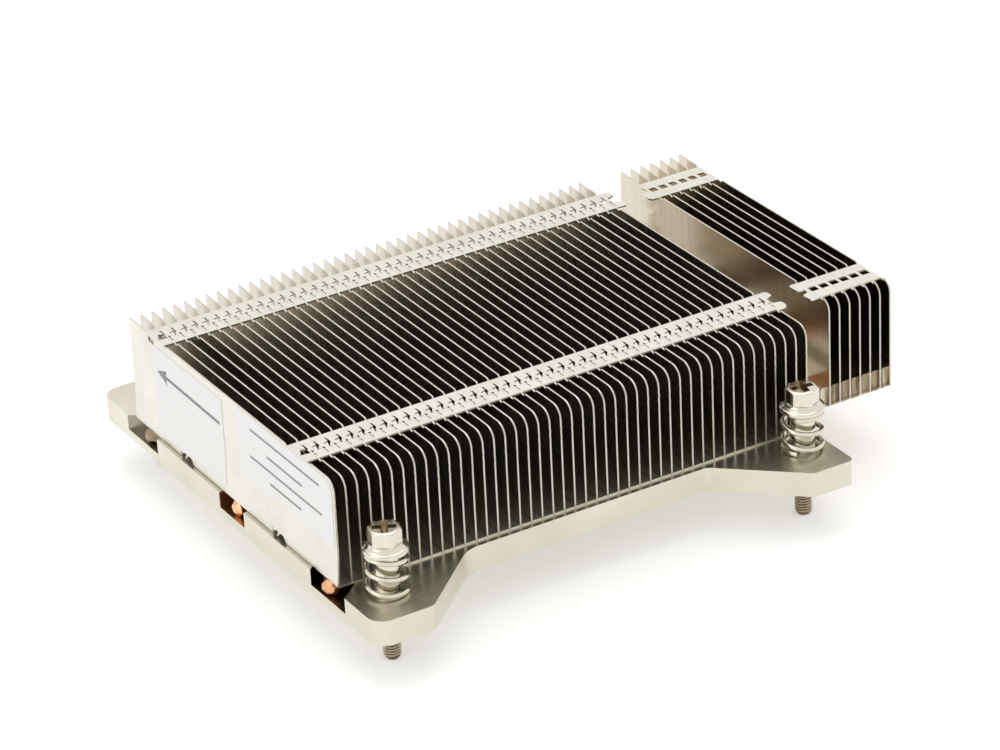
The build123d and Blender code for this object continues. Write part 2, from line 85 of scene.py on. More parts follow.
def add_node(material, kind, **settings):
    """A new node of a material, with some of its settings given."""
    node = material.node_tree.nodes.new(kind)
    for key, value in settings.items():
        setattr(node, key, value)
    return node


def link(material, source, target):
    """Joins one node's output to another's input."""
    material.node_tree.links.new(source, target)


def object_coords(material, scale):
    """Object coordinates stretched by a scale along each axis."""
    coords = add_node(material, "ShaderNodeTexCoord")
    mapping = add_node(material, "ShaderNodeMapping")
    mapping.inputs["Scale"].default_value = scale
    link(material, coords.outputs["Object"], mapping.inputs["Vector"])
    return mapping.outputs["Vector"]


def noise(material, waves, detail=4.0, roughness=0.6):
    """Noise with so many waves per metre along each axis."""
    texture = add_node(material, "ShaderNodeTexNoise")
    texture.inputs["Scale"].default_value = 1.0
    texture.inputs["Detail"].default_value = detail
    texture.inputs["Roughness"].default_value = roughness
    link(material, object_coords(material, waves), texture.inputs["Vector"])
    return texture.outputs["Fac"]


def ramp(material, source, stops):
    """A colour ramp from (position, colour) stops."""
    node = add_node(material, "ShaderNodeValToRGB")
    elements = node.color_ramp.elements
    while len(elements) < len(stops):
        elements.new(0.5)
    for element, (position, color) in zip(elements, stops):
        element.position = position
        element.color = (*color, 1.0)
    link(material, source, node.inputs["Fac"])
    return node.outputs["Color"]


def value_range(material, source, low, high, from_low=0.0, from_high=1.0):
    """The source carried from one range to another, and held at its ends."""
    node = add_node(material, "ShaderNodeMapRange")
    node.inputs["From Min"].default_value = from_low
    node.inputs["From Max"].default_value = from_high
    node.inputs["To Min"].default_value = low
    node.inputs["To Max"].default_value = high
    link(material, source, node.inputs["Value"])
    return node.outputs["Result"]


def tint(material, shader, source, stops):
    """Colours a shader by a ramp over the source."""
    link(material, ramp(material, source, stops), shader.inputs["Base Color"])


def roughen(material, shader, source, low, high):
    """Lets a shader's roughness follow the source between two values."""
    link(material, value_range(material, source, low, high), shader.inputs["Roughness"])


def bump(material, shader, source, strength, distance):
    """Lets the source stand up from a shader's surface."""
    node = add_node(material, "ShaderNodeBump")
    node.inputs["Strength"].default_value = strength
    node.inputs["Distance"].default_value = distance
    link(material, source, node.inputs["Height"])
    link(material, node.outputs["Normal"], shader.inputs["Normal"])


def brightest(material, *sources):
    """The highest of several values."""
    value = sources[0]
    for source in sources[1:]:
        node = add_node(material, "ShaderNodeMath", operation="MAXIMUM")
        link(material, value, node.inputs[0])
        link(material, source, node.inputs[1])
        value = node.outputs["Value"]
    return value


# Materials

STAMPED_COLOR = (0.78, 0.74, 0.66)
# Painted shade on the faces in the fins' gaps, darker and warmer than the same sheet's outer face
GAP_SHADE_COLOR = (0.62, 0.57, 0.50)
# Painted copper reflection and painted shade on the outboard fins' faces
OUTBOARD_REFLECTION_COLOR = (0.56, 0.49, 0.38)
PLATE_COLOR = (0.69, 0.65, 0.55)
COPPER_COLOR = (0.88, 0.50, 0.27)
# Painted shade on the far pipe's copper
SHADED_COPPER_COLOR = (0.30, 0.22, 0.15)
# Painted shade and reflection on the outboard fins' recessed side tabs
SIDE_TAB_SHADE_COLOR = (0.26, 0.20, 0.12)
SCREW_COLOR = (0.71, 0.67, 0.57)
THREAD_COLOR = (0.56, 0.52, 0.42)
# Painted shade in the cross recess and the thread's floor
RECESS_SHADE_COLOR = (0.16, 0.11, 0.06)
CUT_COLOR = (0.66, 0.62, 0.56)
LABEL_COLOR = (0.92, 0.92, 0.90)
PRINT_COLOR = (0.24, 0.24, 0.24)
FLOOR_COLOR = (0.86, 0.86, 0.86)


def make_stamped_material():
    """Stamped aluminium as seen on tabs and the stack's outer face."""
    material, shader = new_material("fin_aluminium", STAMPED_COLOR, 0.36)
    grain = noise(material, (900, 300, 900), detail=5.0)
    clouds = noise(material, (160, 160, 160), detail=3.0)
    tint(material, shader, clouds, [(0.3, (0.71, 0.68, 0.61)), (0.7, (0.79, 0.76, 0.69))])
    roughen(material, shader, grain, 0.3, 0.44)
    bump(material, shader, grain, 0.08, 0.05 * MM)
    return material


def make_cut_material():
    """The sheet's cut edges, duller than its rolled faces."""
    material, shader = new_material("fin_cut_edge", CUT_COLOR, 0.45)
    burrs = noise(material, (700, 700, 700))
    tint(material, shader, burrs, [(0.3, (0.54, 0.50, 0.43)), (0.7, (0.68, 0.64, 0.56))])
    return material


def make_outboard_reflection_material():
    """The outboard fins' faces, smooth, with a golden brown tint as painted reflection of the copper
    pipes and painted shade.
    """
    material, shader = new_material("outboard_face_painted_reflection", OUTBOARD_REFLECTION_COLOR, 0.15)
    rolling = noise(material, (40, 900, 60))
    tint(material, shader, rolling, [(0.3, (0.60, 0.54, 0.44)), (0.7, (0.68, 0.62, 0.51))])
    roughen(material, shader, rolling, 0.11, 0.18)
    return material


def make_side_tab_shade_material():
    """The outboard fins' recessed side tabs, with painted shade and reflection in brown upright
    streaks.
    """
    material, shader = new_material("side_tab_painted_shade", SIDE_TAB_SHADE_COLOR, 0.34)
    streaks = noise(material, (1500, 1500, 120))
    shade_tones = [(0.35, (0.15, 0.11, 0.07)), (0.52, (0.35, 0.28, 0.18)), (0.72, (0.66, 0.60, 0.46))]
    tint(material, shader, streaks, shade_tones)
    return material


def make_shaded_copper_material():
    """Copper darkened brown as painted shade, as on the far pipe's tip."""
    material, shader = new_material("copper_painted_shade", SHADED_COPPER_COLOR, 0.34)
    stains = noise(material, (300, 300, 300))
    tint(material, shader, stains, [(0.3, (0.16, 0.12, 0.08)), (0.7, (0.42, 0.32, 0.22))])
    return material


def make_gap_shade_material():
    """The rolled faces inside the stack, smoother, with painted shade: darker and warmer, where the
    gaps trap the light.
    """
    material, shader = new_material("fin_face_painted_gap_shade", GAP_SHADE_COLOR, 0.16)
    rolling = noise(material, (40, 900, 60))
    tint(material, shader, rolling, [(0.3, (0.59, 0.54, 0.47)), (0.7, (0.69, 0.64, 0.57))])
    roughen(material, shader, rolling, 0.17, 0.26)
    return material


# Bounds of the painted shade and copper reflection inside the grooves: inward from the left edge,
# sideways and upward
GROOVE_SHADE_START, GROOVE_SHADE_END, GROOVE_SHADE_FADE = 0.1 * MM, 8 * MM, MM
GROOVE_SHADE_HALF_WIDTH = 40 * MM
GROOVE_SHADE_BOTTOM, GROOVE_SHADE_TOP = 0.2 * MM, 4.4 * MM
GROOVE_SHADE_BORDER = 0.1 * MM


def groove_mouth_shade(material):
    """Where the grooves at the plate's left edge get painted shade and painted copper reflection,
    and with what colour.
    """
    left = cad_box[0][0]
    coords = add_node(material, "ShaderNodeTexCoord")
    place = add_node(material, "ShaderNodeSeparateXYZ")
    link(material, coords.outputs["Object"], place.inputs["Vector"])
    sideways = add_node(material, "ShaderNodeMath", operation="ABSOLUTE")
    link(material, place.outputs["Y"], sideways.inputs[0])
    inward, upward, outward = place.outputs["X"], place.outputs["Z"], sideways.outputs["Value"]
    value = value_range(material, upward, 1.0, 0.0, GROOVE_SHADE_TOP - GROOVE_SHADE_BORDER, GROOVE_SHADE_TOP)
    for source, low, high, start, end in (
        (upward, 0.0, 1.0, GROOVE_SHADE_BOTTOM, GROOVE_SHADE_BOTTOM + GROOVE_SHADE_BORDER),
        (inward, 0.0, 1.0, left + GROOVE_SHADE_START, left + GROOVE_SHADE_START + GROOVE_SHADE_BORDER / 2),
        (inward, 1.0, 0.0, left + GROOVE_SHADE_END, left + GROOVE_SHADE_END + GROOVE_SHADE_FADE),
        (outward, 1.0, 0.0, GROOVE_SHADE_HALF_WIDTH, GROOVE_SHADE_HALF_WIDTH + GROOVE_SHADE_FADE),
    ):
        both = add_node(material, "ShaderNodeMath", operation="MULTIPLY")
        link(material, value, both.inputs[0])
        link(material, value_range(material, source, low, high, start, end), both.inputs[1])
        value = both.outputs["Value"]
    along = value_range(material, place.outputs["Y"], 0.0, 1.0, -GROOVE_SHADE_HALF_WIDTH, GROOVE_SHADE_HALF_WIDTH)
    browns = [(0.2, (0.20, 0.13, 0.08)), (0.5, (0.52, 0.27, 0.12)), (0.8, (0.34, 0.30, 0.25))]
    return value, ramp(material, along, browns)


def make_plate_material():
    """Brushed plating, with painted shade and copper reflection in the groove mouths."""
    material, shader = new_material("plated_plate", PLATE_COLOR, 0.3)
    brushing = noise(material, (60, 2600, 60), detail=6.0, roughness=0.7)
    clouds = noise(material, (45, 45, 45), detail=3.0)
    plain = ramp(material, clouds, [(0.35, (0.65, 0.61, 0.50)), (0.7, (0.74, 0.70, 0.60))])
    roughen(material, shader, brushing, 0.2, 0.4)
    bump(material, shader, brushing, 0.16, 0.05 * MM)
    groove_shaded, brown = groove_mouth_shade(material)
    mixed = add_node(material, "ShaderNodeMix", data_type="RGBA")
    link(material, groove_shaded, mixed.inputs["Factor"])
    link(material, plain, mixed.inputs["A"])
    link(material, brown, mixed.inputs["B"])
    link(material, mixed.outputs["Result"], shader.inputs["Base Color"])
    return material


def make_copper_material():
    """Copper, darker and duller where it is stained."""
    material, shader = new_material("copper_pipe", COPPER_COLOR, 0.26)
    stains = noise(material, (160, 160, 160))
    coppers = [(0.3, (0.64, 0.32, 0.14)), (0.55, (0.88, 0.50, 0.27)), (0.8, (0.95, 0.68, 0.44))]
    tint(material, shader, stains, coppers)
    roughen(material, shader, stains, 0.36, 0.2)
    return material


def make_screw_material():
    """Bright plating with handling marks, on screws, springs and rings."""
    material, shader = new_material("bright_plating", SCREW_COLOR, 0.12)
    handling = noise(material, (700, 700, 700))
    roughen(material, shader, handling, 0.07, 0.2)
    bump(material, shader, handling, 0.05, 0.03 * MM)
    return material


def make_thread_material():
    """The worn crests of the rolled thread."""
    material, shader = new_material("rolled_thread", THREAD_COLOR, 0.42)
    wear = noise(material, (900, 900, 900))
    tint(material, shader, wear, [(0.3, (0.48, 0.44, 0.34)), (0.7, (0.66, 0.62, 0.52))])
    return material


def make_recess_shade_material():
    """Painted shade on the floor of the cross recess and of the thread."""
    material, shader = new_material("recess_painted_shade", RECESS_SHADE_COLOR, 0.35)
    spots = noise(material, (1200, 1200, 1200), detail=3.0)
    tint(material, shader, spots, [(0.3, (0.10, 0.07, 0.035)), (0.7, (0.28, 0.20, 0.11))])
    return material


def make_label_material():
    """The stickers' white film."""
    material, shader = new_material("label_film", LABEL_COLOR, 0.42, metallic=0.0)
    paper = noise(material, (1500, 1500, 1500), detail=2.0)
    bump(material, shader, paper, 0.03, 0.02 * MM)
    return material


def make_print_material():
    """The stickers' grey print."""
    material, shader = new_material("label_print", PRINT_COLOR, 0.5, metallic=0.0)
    grain = noise(material, (2500, 2500, 2500), detail=2.0)
    tint(material, shader, grain, [(0.35, (0.20, 0.20, 0.20)), (0.65, (0.30, 0.30, 0.30))])
    return material


stamped_material = make_stamped_material()
cut_material = make_cut_material()
gap_shade_material = make_gap_shade_material()
outboard_reflection_material = make_outboard_reflection_material()
side_tab_shade_material = make_side_tab_shade_material()
plate_material = make_plate_material()
copper_material = make_copper_material()
shaded_copper_material = make_shaded_copper_material()
screw_material = make_screw_material()
thread_material = make_thread_material()
recess_shade_material = make_recess_shade_material()
label_material = make_label_material()
print_material = make_print_material()

# Rounding of the CAD pieces that are shown as they are

WELD_DISTANCE = 0.002 * MM
CORNER_ANGLE = 40
ROUNDING_STEPS = 3
PIPE_ROUNDING = 0.4 * MM
RING_ROUNDING = 0.05 * MM
PLATE_ROUNDING = 0.15 * MM


def round_edges(obj, radius):
    """Joins the split edges of a CAD mesh, then rounds its corners."""
    weld = obj.modifiers.new("joined", "WELD")
    weld.merge_threshold = WELD_DISTANCE
    bevel = obj.modifiers.new("edges", "BEVEL")
    bevel.width = radius
    bevel.segments = ROUNDING_STEPS
    bevel.limit_method = "ANGLE"
    bevel.angle_limit = radians(CORNER_ANGLE)


def dress(node_name, material, edge_radius=0.0):
    """Gives a CAD node its material and, if asked, rounded edges."""
    node = nodes[node_name]
    node.data.materials.clear()
    node.data.materials.append(material)
    if edge_radius:
        round_edges(node, edge_radius)


for name in nodes:
    # The far pipe gets painted shade: a darker copper than the others
    if name == "heat_pipe_far":
        dress(name, shaded_copper_material, PIPE_ROUNDING)
    elif name.startswith("heat_pipe"):
        dress(name, copper_material, PIPE_ROUNDING)
    elif name.startswith("retaining_ring"):
        dress(name, screw_material, RING_ROUNDING)
dress("base_plate", plate_material, PLATE_ROUNDING)
dress("near_label", label_material)


# Mesh helpers

SMOOTH_ANGLE = 35


def box_mm(name):
    """A CAD node's low and high corners in millimetres."""
    return [[c / MM for c in corner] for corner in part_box(name)]


def finish_mesh(mesh_data, name, materials, choose=None):
    """A shown object from bmesh data. choose(face) gives a face's place in materials."""
    mesh = bpy.data.meshes.new(name)
    bmesh.ops.recalc_face_normals(mesh_data, faces=mesh_data.faces)
    for face in mesh_data.faces:
        face.smooth = True
        if choose:
            face.material_index = choose(face)
    mesh_data.to_mesh(mesh)
    mesh_data.free()
    for material in materials:
        mesh.materials.append(material)
    obj = bpy.data.objects.new(name, mesh)
    bpy.context.scene.collection.objects.link(obj)
    mesh.set_sharp_from_angle(angle=radians(SMOOTH_ANGLE))
    return obj


def add_sheet(mesh_data, loops, place, thickness):
    """A flat sheet with holes. place(u, v, w) gives a point, w through the thickness."""
    flat = [[Vector((u, v, 0)) for u, v in loop] for loop in loops]
    corners = [point for loop in flat for point in loop]
    lower = [mesh_data.verts.new(place(p.x, p.y, 0.0)) for p in corners]
    upper = [mesh_data.verts.new(place(p.x, p.y, thickness)) for p in corners]
    for triangle in tessellate_polygon(flat):
        mesh_data.faces.new([upper[i] for i in triangle])
        mesh_data.faces.new([lower[i] for i in reversed(triangle)])
    start = 0
    for loop in flat:
        for i in range(len(loop)):
            a = start + i
            b = start + (i + 1) % len(loop)
            mesh_data.faces.new((lower[a], lower[b], upper[b], upper[a]))
        start += len(loop)


def skin_rings(mesh_data, rings, closed_ends=True):
    """Joins closed rings of equal point count into a skin."""
    rows = [[mesh_data.verts.new(point) for point in ring] for ring in rings]
    count = len(rows[0])
    for lower, upper in zip(rows, rows[1:]):
        for i in range(count):
            j = (i + 1) % count
            mesh_data.faces.new((lower[i], lower[j], upper[j], upper[i]))
    if closed_ends:
        mesh_data.faces.new(list(reversed(rows[0])))
        mesh_data.faces.new(rows[-1])
    return rows


def round_ring(center, height, radius_at, steps):
    """A level ring round an upright axis. radius_at(angle) gives its radius."""
    ring = []
    for i in range(steps):
        angle = 2 * pi * i / steps
        radius = radius_at(angle)
        ring.append((center[0] + radius * cos(angle), center[1] + radius * sin(angle), height))
    return ring


def lathe_rings(profile, center, steps):
    """Rings from (radius, height) points turned round an upright axis."""
    return [round_ring(center, height, lambda angle: radius, steps) for radius, height in profile]


def add_plate(mesh_data, low, high):
    """A level plate between two corners, in millimetres."""
    corners = [(low[0], low[1]), (high[0], low[1]), (high[0], high[1]), (low[0], high[1])]
    add_sheet(
        mesh_data,
        [corners],
        lambda a, b, w: Vector((a, b, low[2] + w)) * MM,
        high[2] - low[2],
    )


# Fins: folded sheets whose top tabs lock into each other. Sizes here are in
# millimetres, taken from the fin's plane and the tab row's far edge.

FIN_THICK = 0.3
FIN_PITCH = 2.1
FIN_CORNER_R = 2.2
CORNER_STEPS = 6
FOLD_END = 1.93
PRONG_END = 2.35
TAB_LENGTH = 6.6
TAB_DROP = 0.2
TAB_NEAR_SETBACK = 8.65
TAB_FAR_SETBACK = 5.95
HOOK_LENGTH = 1.24
HOOK_DROP = 0.42
HOOK_RUN = 0.2
HOOK_END_DROP = 0.04
STEP_LENGTH = 0.6
SLIT_START, SLIT_END, SLIT_DEPTH = 1.2, 3.2, 0.9
ARCH_WIDTH = 4.4
ARCH_SETBACK = 19.3
NUB_HEIGHTS = (13.85, 15.55)
NUB_REACH = 0.12
NUB_FOOT_HALF = 0.25
NUB_TIP_HALF = 0.1
FINS_PER_NODE = 2
END_FINS = 2
FLARE_HEIGHT = 9.0
FLARE_REACH = 0.42
FLARE_CUTS = (0.12, 0.25, 0.4, 0.6, 0.8, 1.0)
FOLD_ROUNDING = 0.3
FOLD_CUTS = (0.5, 1.0)
HALF_THICK = FIN_THICK / 2

# For telling faces apart: a margin, how squarely a sheet's face looks along the row, and
# how wide a cut edge may be as a share of the sheet's thickness
MARGIN = 0.01
SHEET_FACING = 0.9
EDGE_SHARE = 1.1

# A locked tab seen from above, as (away from the fold, toward the near side) corners
TAB_START = [(-HALF_THICK, 0.0), (FOLD_END, 0.0)]
TAB_SLIT = [
    (FOLD_END, 2.45),
    (0.95, 2.80),
    (0.93, 3.02),
    (1.66, 2.84),
    (1.30, 4.25),
    (FOLD_END, 4.5),
]
TAB_OPEN_RECESS = [(FOLD_END, 2.7), (1.1, 2.4), (0.25, 4.25), (1.4, 4.4), (FOLD_END, 4.4)]
TAB_PRONGS = [
    (1.95, 0.0),
    (PRONG_END, 0.4),
    (PRONG_END, 1.7),
    (1.7, 2.1),
    (1.0, 2.25),
    (0.8, 2.5),
    (0.8, 4.0),
    (1.0, 4.3),
    (1.7, 4.4),
    (PRONG_END, 4.7),
    (PRONG_END, 6.1),
    (1.9, TAB_LENGTH),
]
TAB_END = [(FOLD_END, TAB_LENGTH), (-HALF_THICK, TAB_LENGTH)]
TAB_FOLD_SLIT = [(-HALF_THICK, SLIT_END), (0.14, 3.02), (0.12, 1.4), (-HALF_THICK, SLIT_START)]
TAB_NOTCH = [(0.17, 3.6), (0.68, 4.05), (0.19, 4.5)]
TAB_CREASE = [(0.16, 4.65), (0.31, 4.62), (0.40, 5.7), (0.25, 5.73)]
TONGUE = [(-HALF_THICK, 3.3), (-0.44, 3.7), (-0.54, 4.25), (-HALF_THICK, 4.4)]
TONGUE_SLOPE = 0.9

# A window at a fin's foot, as (toward the near side, height) corners: a torn slit, an
# opening, a hanging tongue, a wider opening, and a short slit by itself
ARCH_EDGE = [
    (-2.2, 0.0),
    (-2.25, 0.4),
    (-2.75, 1.3),
    (-2.0, 0.75),
    (-1.3, 1.2),
    (-0.5, 1.15),
    (-0.95, 0.35),
    (-0.72, 0.25),
    (0.1, 1.15),
    (1.2, 1.18),
    (1.8, 0.75),
    (2.15, 0.3),
    (2.2, 0.0),
]
ARCH_SLIT = [(2.3, 1.25), (2.45, 1.2), (2.8, 0.62), (2.62, 0.7)]


def arc_points(center, radius, start, end, steps):
    """Points along a circular arc, angles in degrees."""
    points = []
    for step in range(steps + 1):
        angle = radians(start + (end - start) * step / steps)
        points.append((center[0] + radius * cos(angle), center[1] + radius * sin(angle)))
    return points


def sheet_outline(near_y, far_y, bottom, top, corner_radius, nubs, tab_starts, slit_depth):
    """The upright sheet's outline in (y, z), with nubs, hooks and slits under the tabs."""
    points = [(near_y, bottom)]
    for height in nubs:
        middle = bottom + height
        points += [
            (near_y, middle - NUB_FOOT_HALF),
            (near_y - NUB_REACH, middle - NUB_TIP_HALF),
            (near_y - NUB_REACH, middle + NUB_TIP_HALF),
            (near_y, middle + NUB_FOOT_HALF),
        ]
    corner = (near_y + corner_radius, top - corner_radius)
    points += arc_points(corner, corner_radius, 180, 90, CORNER_STEPS)
    tab_top = top - TAB_DROP
    fold = tab_top - FIN_THICK
    for near_end in tab_starts:
        far_end = near_end + TAB_LENGTH
        points += [
            (near_end - HOOK_LENGTH, top),
            (near_end - HOOK_LENGTH + HOOK_RUN, top - HOOK_DROP),
            (near_end, tab_top - HOOK_END_DROP),
            (near_end, fold),
            (far_end - SLIT_END, fold),
            (far_end - SLIT_END, fold - slit_depth),
            (far_end - SLIT_START, fold - slit_depth),
            (far_end - SLIT_START, fold),
            (far_end, fold),
            (far_end + STEP_LENGTH, top),
        ]
    return points + [(far_y, top), (far_y, bottom)]


def row_starts(near_y, far_y):
    """Where the near and far rows of tabs start, between the main fins' ends."""
    return near_y + TAB_NEAR_SETBACK, far_y - TAB_FAR_SETBACK - TAB_LENGTH


def tab_loops_of(index, last):
    """A main fin's tab seen from above: its edge, then its holes."""
    if index == 0:
        return [TAB_START + TAB_OPEN_RECESS + TAB_END]
    tab_edge = TAB_START + TAB_SLIT + TAB_END
    if index == last:
        tab_edge = TAB_START[:1] + TAB_PRONGS + TAB_END[1:]
    return [tab_edge + TAB_FOLD_SLIT, TAB_NOTCH, TAB_CREASE]


def tongue_point(x, y, z, out):
    """A point of a tongue, which slopes down into the fin before it."""
    return Vector((x, y, z + TONGUE_SLOPE * out)) * MM


def add_main_fin(mesh_data, index, last, x, low, high):
    """One folded fin: sheet, foot, two tabs and their tongues, all in millimetres."""
    near_y, far_y, bottom, top = low[1], high[1], low[2], high[2]
    at_end = index < END_FINS
    arch_ys = (far_y - ARCH_SETBACK, near_y + ARCH_SETBACK) if at_end else ()
    tab_starts = row_starts(near_y, far_y)
    outline = sheet_outline(
        near_y, far_y, bottom, top, FIN_CORNER_R, NUB_HEIGHTS, tab_starts, SLIT_DEPTH
    )
    slits = []
    for arch_y in arch_ys:
        outline += [(arch_y - u, bottom + h) for u, h in ARCH_EDGE]
        slits.append([(arch_y - u, bottom + h) for u, h in ARCH_SLIT])
    add_sheet(
        mesh_data,
        [outline] + slits,
        lambda y, z, w: Vector((x - HALF_THICK + w, y, z)) * MM,
        FIN_THICK,
    )
    foot_ys = [near_y]
    for arch_y in reversed(arch_ys):
        foot_ys += [arch_y - ARCH_WIDTH / 2, arch_y + ARCH_WIDTH / 2]
    foot_ys.append(far_y)
    for start_y, end_y in zip(foot_ys[::2], foot_ys[1::2]):
        add_plate(
            mesh_data,
            (x + HALF_THICK, start_y, bottom),
            (x + FOLD_END, end_y, bottom + FIN_THICK),
        )
    tab_z = top - TAB_DROP - FIN_THICK
    for far_end in [start + TAB_LENGTH for start in tab_starts]:
        add_sheet(
            mesh_data,
            tab_loops_of(index, last),
            lambda a, b, w: Vector((x + a, far_end - b, tab_z + w)) * MM,
            FIN_THICK,
        )
        if not at_end:
            add_sheet(
                mesh_data,
                [TONGUE],
                lambda a, b, w: tongue_point(x + a, far_end - b, tab_z + w, a + HALF_THICK),
                FIN_THICK,
            )


def flare_reach(height):
    """How far outward the first fin's face lies at a height above its foot."""
    return FLARE_REACH * (1 - min(height / FLARE_HEIGHT, 1.0)) ** 2


def cut_at_flare_heights(mesh_data, bottom):
    """Cuts a sheet level, so that it can bend along the flare."""
    heights = [FOLD_ROUNDING * share for share in FOLD_CUTS]
    heights += [FLARE_HEIGHT * share for share in FLARE_CUTS]
    for height in heights:
        bmesh.ops.bisect_plane(
            mesh_data,
            geom=mesh_data.verts[:] + mesh_data.edges[:] + mesh_data.faces[:],
            plane_co=(0, 0, (bottom + height) * MM),
            plane_no=(0, 0, 1),
        )


def flare_foot(mesh_data, sheet_x, bottom):
    """Spreads the first fin's foot outward and rounds its fold."""
    cut_at_flare_heights(mesh_data, bottom)
    for vert in mesh_data.verts:
        height = vert.co.z / MM - bottom
        if vert.co.x / MM > sheet_x + HALF_THICK + MARGIN or height > FLARE_HEIGHT:
            continue
        vert.co.x -= flare_reach(height) * MM
        if height < FOLD_ROUNDING:
            share = 1 - height / FOLD_ROUNDING
            vert.co.x += FOLD_ROUNDING * share * share * MM


def is_sheet_face(face):
    """Whether a face looks along the row of fins."""
    return abs(face.normal.x) > SHEET_FACING


def is_cut_edge(face):
    """Whether a face is hardly wider than the sheet is thick."""
    across = [vert.co.x for vert in face.verts]
    return max(across) - min(across) < EDGE_SHARE * FIN_THICK * MM


def fin_finish(face, outer_x):
    """0 for tabs and the stack's outer face, 1 for a face in a gap, which gets painted shade, 2 for
    a cut edge.
    """
    if is_sheet_face(face):
        return 0 if face.calc_center_median().x < outer_x else 1
    return 2 if is_cut_edge(face) else 0


main_nodes = sorted(name for name in nodes if name.startswith("main_fin"))
main_low, main_high = box_mm(main_nodes[0])
first_x = main_low[0] + HALF_THICK
last_fin = FINS_PER_NODE * len(main_nodes) - 1
outer_face_x = (main_low[0] + MARGIN) * MM
for pair, name in enumerate(main_nodes):
    pair_mesh = bmesh.new()
    for index in range(FINS_PER_NODE * pair, FINS_PER_NODE * (pair + 1)):
        add_main_fin(pair_mesh, index, last_fin, first_x + FIN_PITCH * index, main_low, main_high)
    if pair == 0:
        flare_foot(pair_mesh, first_x, main_low[2])
    fins = finish_mesh(
        pair_mesh,
        f"folded_{name}",
        [stamped_material, gap_shade_material, cut_material],
        lambda face: fin_finish(face, outer_face_x),
    )
    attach(fins, "heatsink")
    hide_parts(name)


# Outboard fins: folded toward -X, with windows in their tabs and side tabs with painted shade.
# Sizes here are in millimetres too.

OUTBOARD_CORNER_R = 2.1
OUTBOARD_DROP = 0.66
SIDE_TAB_HEIGHT = 3.6
SIDE_TAB_CHAMFER = 0.6
SIDE_TAB_SETBACK = 0.4
SADDLE_CLEARANCE = 0.2
PIPE_WIDTH = 7.8
PIPE_SPREAD_Y = 22.5

# Their tabs seen from above, as (away from the fold, toward the near side) corners
OUTBOARD_WINDOW = [(FOLD_END, 2.5), (0.6, 2.5), (0.45, 2.65), (0.45, 4.1), (FOLD_END, 4.1)]
OUTBOARD_PRONGS = [
    (1.55, 0.0),
    (FOLD_END - 0.1, 0.2),
    (FOLD_END, 0.55),
    (FOLD_END, 1.9),
    (1.8, 2.25),
    (1.5, 2.45),
    (0.75, 2.7),
    (0.6, 2.95),
    (0.65, 3.8),
    (1.1, 4.1),
    (1.75, 4.3),
    (FOLD_END, 4.7),
    (FOLD_END, 6.0),
    (1.8, 6.4),
    (1.45, TAB_LENGTH),
]

# The far row's windows are narrower, and its last tab has one long prong
OUTBOARD_FAR_WINDOW = [(FOLD_END, 2.5), (0.75, 2.5), (0.6, 2.7), (0.6, 3.95), (FOLD_END, 3.95)]
OUTBOARD_FAR_PRONGS = [
    (0.25, 0.0),
    (0.45, 0.3),
    (0.45, 1.6),
    (0.3, 2.2),
    (0.3, 3.2),
    (1.2, 3.35),
    (1.7, 3.6),
    (FOLD_END, 4.1),
    (FOLD_END, 5.7),
    (1.75, 6.25),
    (1.35, TAB_LENGTH),
]

# For each row of tabs: how far it lies nearer than the main row, its window and its prongs
OUTBOARD_TABS = (
    (0.5, OUTBOARD_WINDOW, OUTBOARD_PRONGS),
    (0.85, OUTBOARD_FAR_WINDOW, OUTBOARD_FAR_PRONGS),
)


def add_outboard_fin(mesh_data, first, low, high, saddles):
    """One outboard fin between its node's corners, in millimetres."""
    near_y, far_y, bottom, top = low[1], high[1], low[2], high[2]
    x = high[0] - HALF_THICK
    saddle_z = bottom + OUTBOARD_DROP
    main_starts = row_starts(main_low[1], main_high[1])
    tab_starts = [start - shift for start, (shift, _, _) in zip(main_starts, OUTBOARD_TABS)]
    outline = sheet_outline(near_y, far_y, bottom, top, OUTBOARD_CORNER_R, (), tab_starts, 0.0)
    for saddle_near, saddle_far in reversed(saddles):
        outline += [
            (saddle_far, bottom),
            (saddle_far, saddle_z),
            (saddle_near, saddle_z),
            (saddle_near, bottom),
        ]
    add_sheet(
        mesh_data,
        [outline],
        lambda y, z, w: Vector((x - HALF_THICK + w, y, z)) * MM,
        FIN_THICK,
    )
    ends = [near_y] + [y for saddle in saddles for y in saddle] + [far_y]
    for i, (start_y, end_y) in enumerate(zip(ends, ends[1:])):
        foot_z = bottom if i % 2 == 0 else saddle_z
        add_plate(
            mesh_data,
            (x - FOLD_END, start_y, foot_z),
            (x - HALF_THICK, end_y, foot_z + FIN_THICK),
        )
    for near_end, (_, window, prongs) in zip(tab_starts, OUTBOARD_TABS):
        tab_edge = TAB_START + window + TAB_END
        if first:
            tab_edge = TAB_START[:1] + prongs + TAB_END[1:]
        add_sheet(
            mesh_data,
            [tab_edge],
            lambda a, b, w: Vector((x - a, near_end + TAB_LENGTH - b, top - TAB_DROP - w)) * MM,
            FIN_THICK,
        )
    side = [
        (x - HALF_THICK, bottom),
        (x - FOLD_END, bottom),
        (x - FOLD_END, bottom + SIDE_TAB_HEIGHT - SIDE_TAB_CHAMFER),
        (x - FOLD_END + SIDE_TAB_CHAMFER, bottom + SIDE_TAB_HEIGHT),
        (x - HALF_THICK, bottom + SIDE_TAB_HEIGHT),
    ]
    side_y = near_y + SIDE_TAB_SETBACK
    add_sheet(
        mesh_data,
        [side],
        lambda a, z, w: Vector((a, side_y + w, z)) * MM,
        FIN_THICK,
    )


def outboard_finish(face, side_high_y, side_top_z):
    """0 for tabs, 1 for a face in a gap with painted reflection and shade, 2 for a cut edge, 3 for a
    side tab with painted shade.
    """
    if is_sheet_face(face):
        return 1
    if is_cut_edge(face):
        return 2
    middle = face.calc_center_median()
    return 3 if middle.y < side_high_y and middle.z < side_top_z else 0


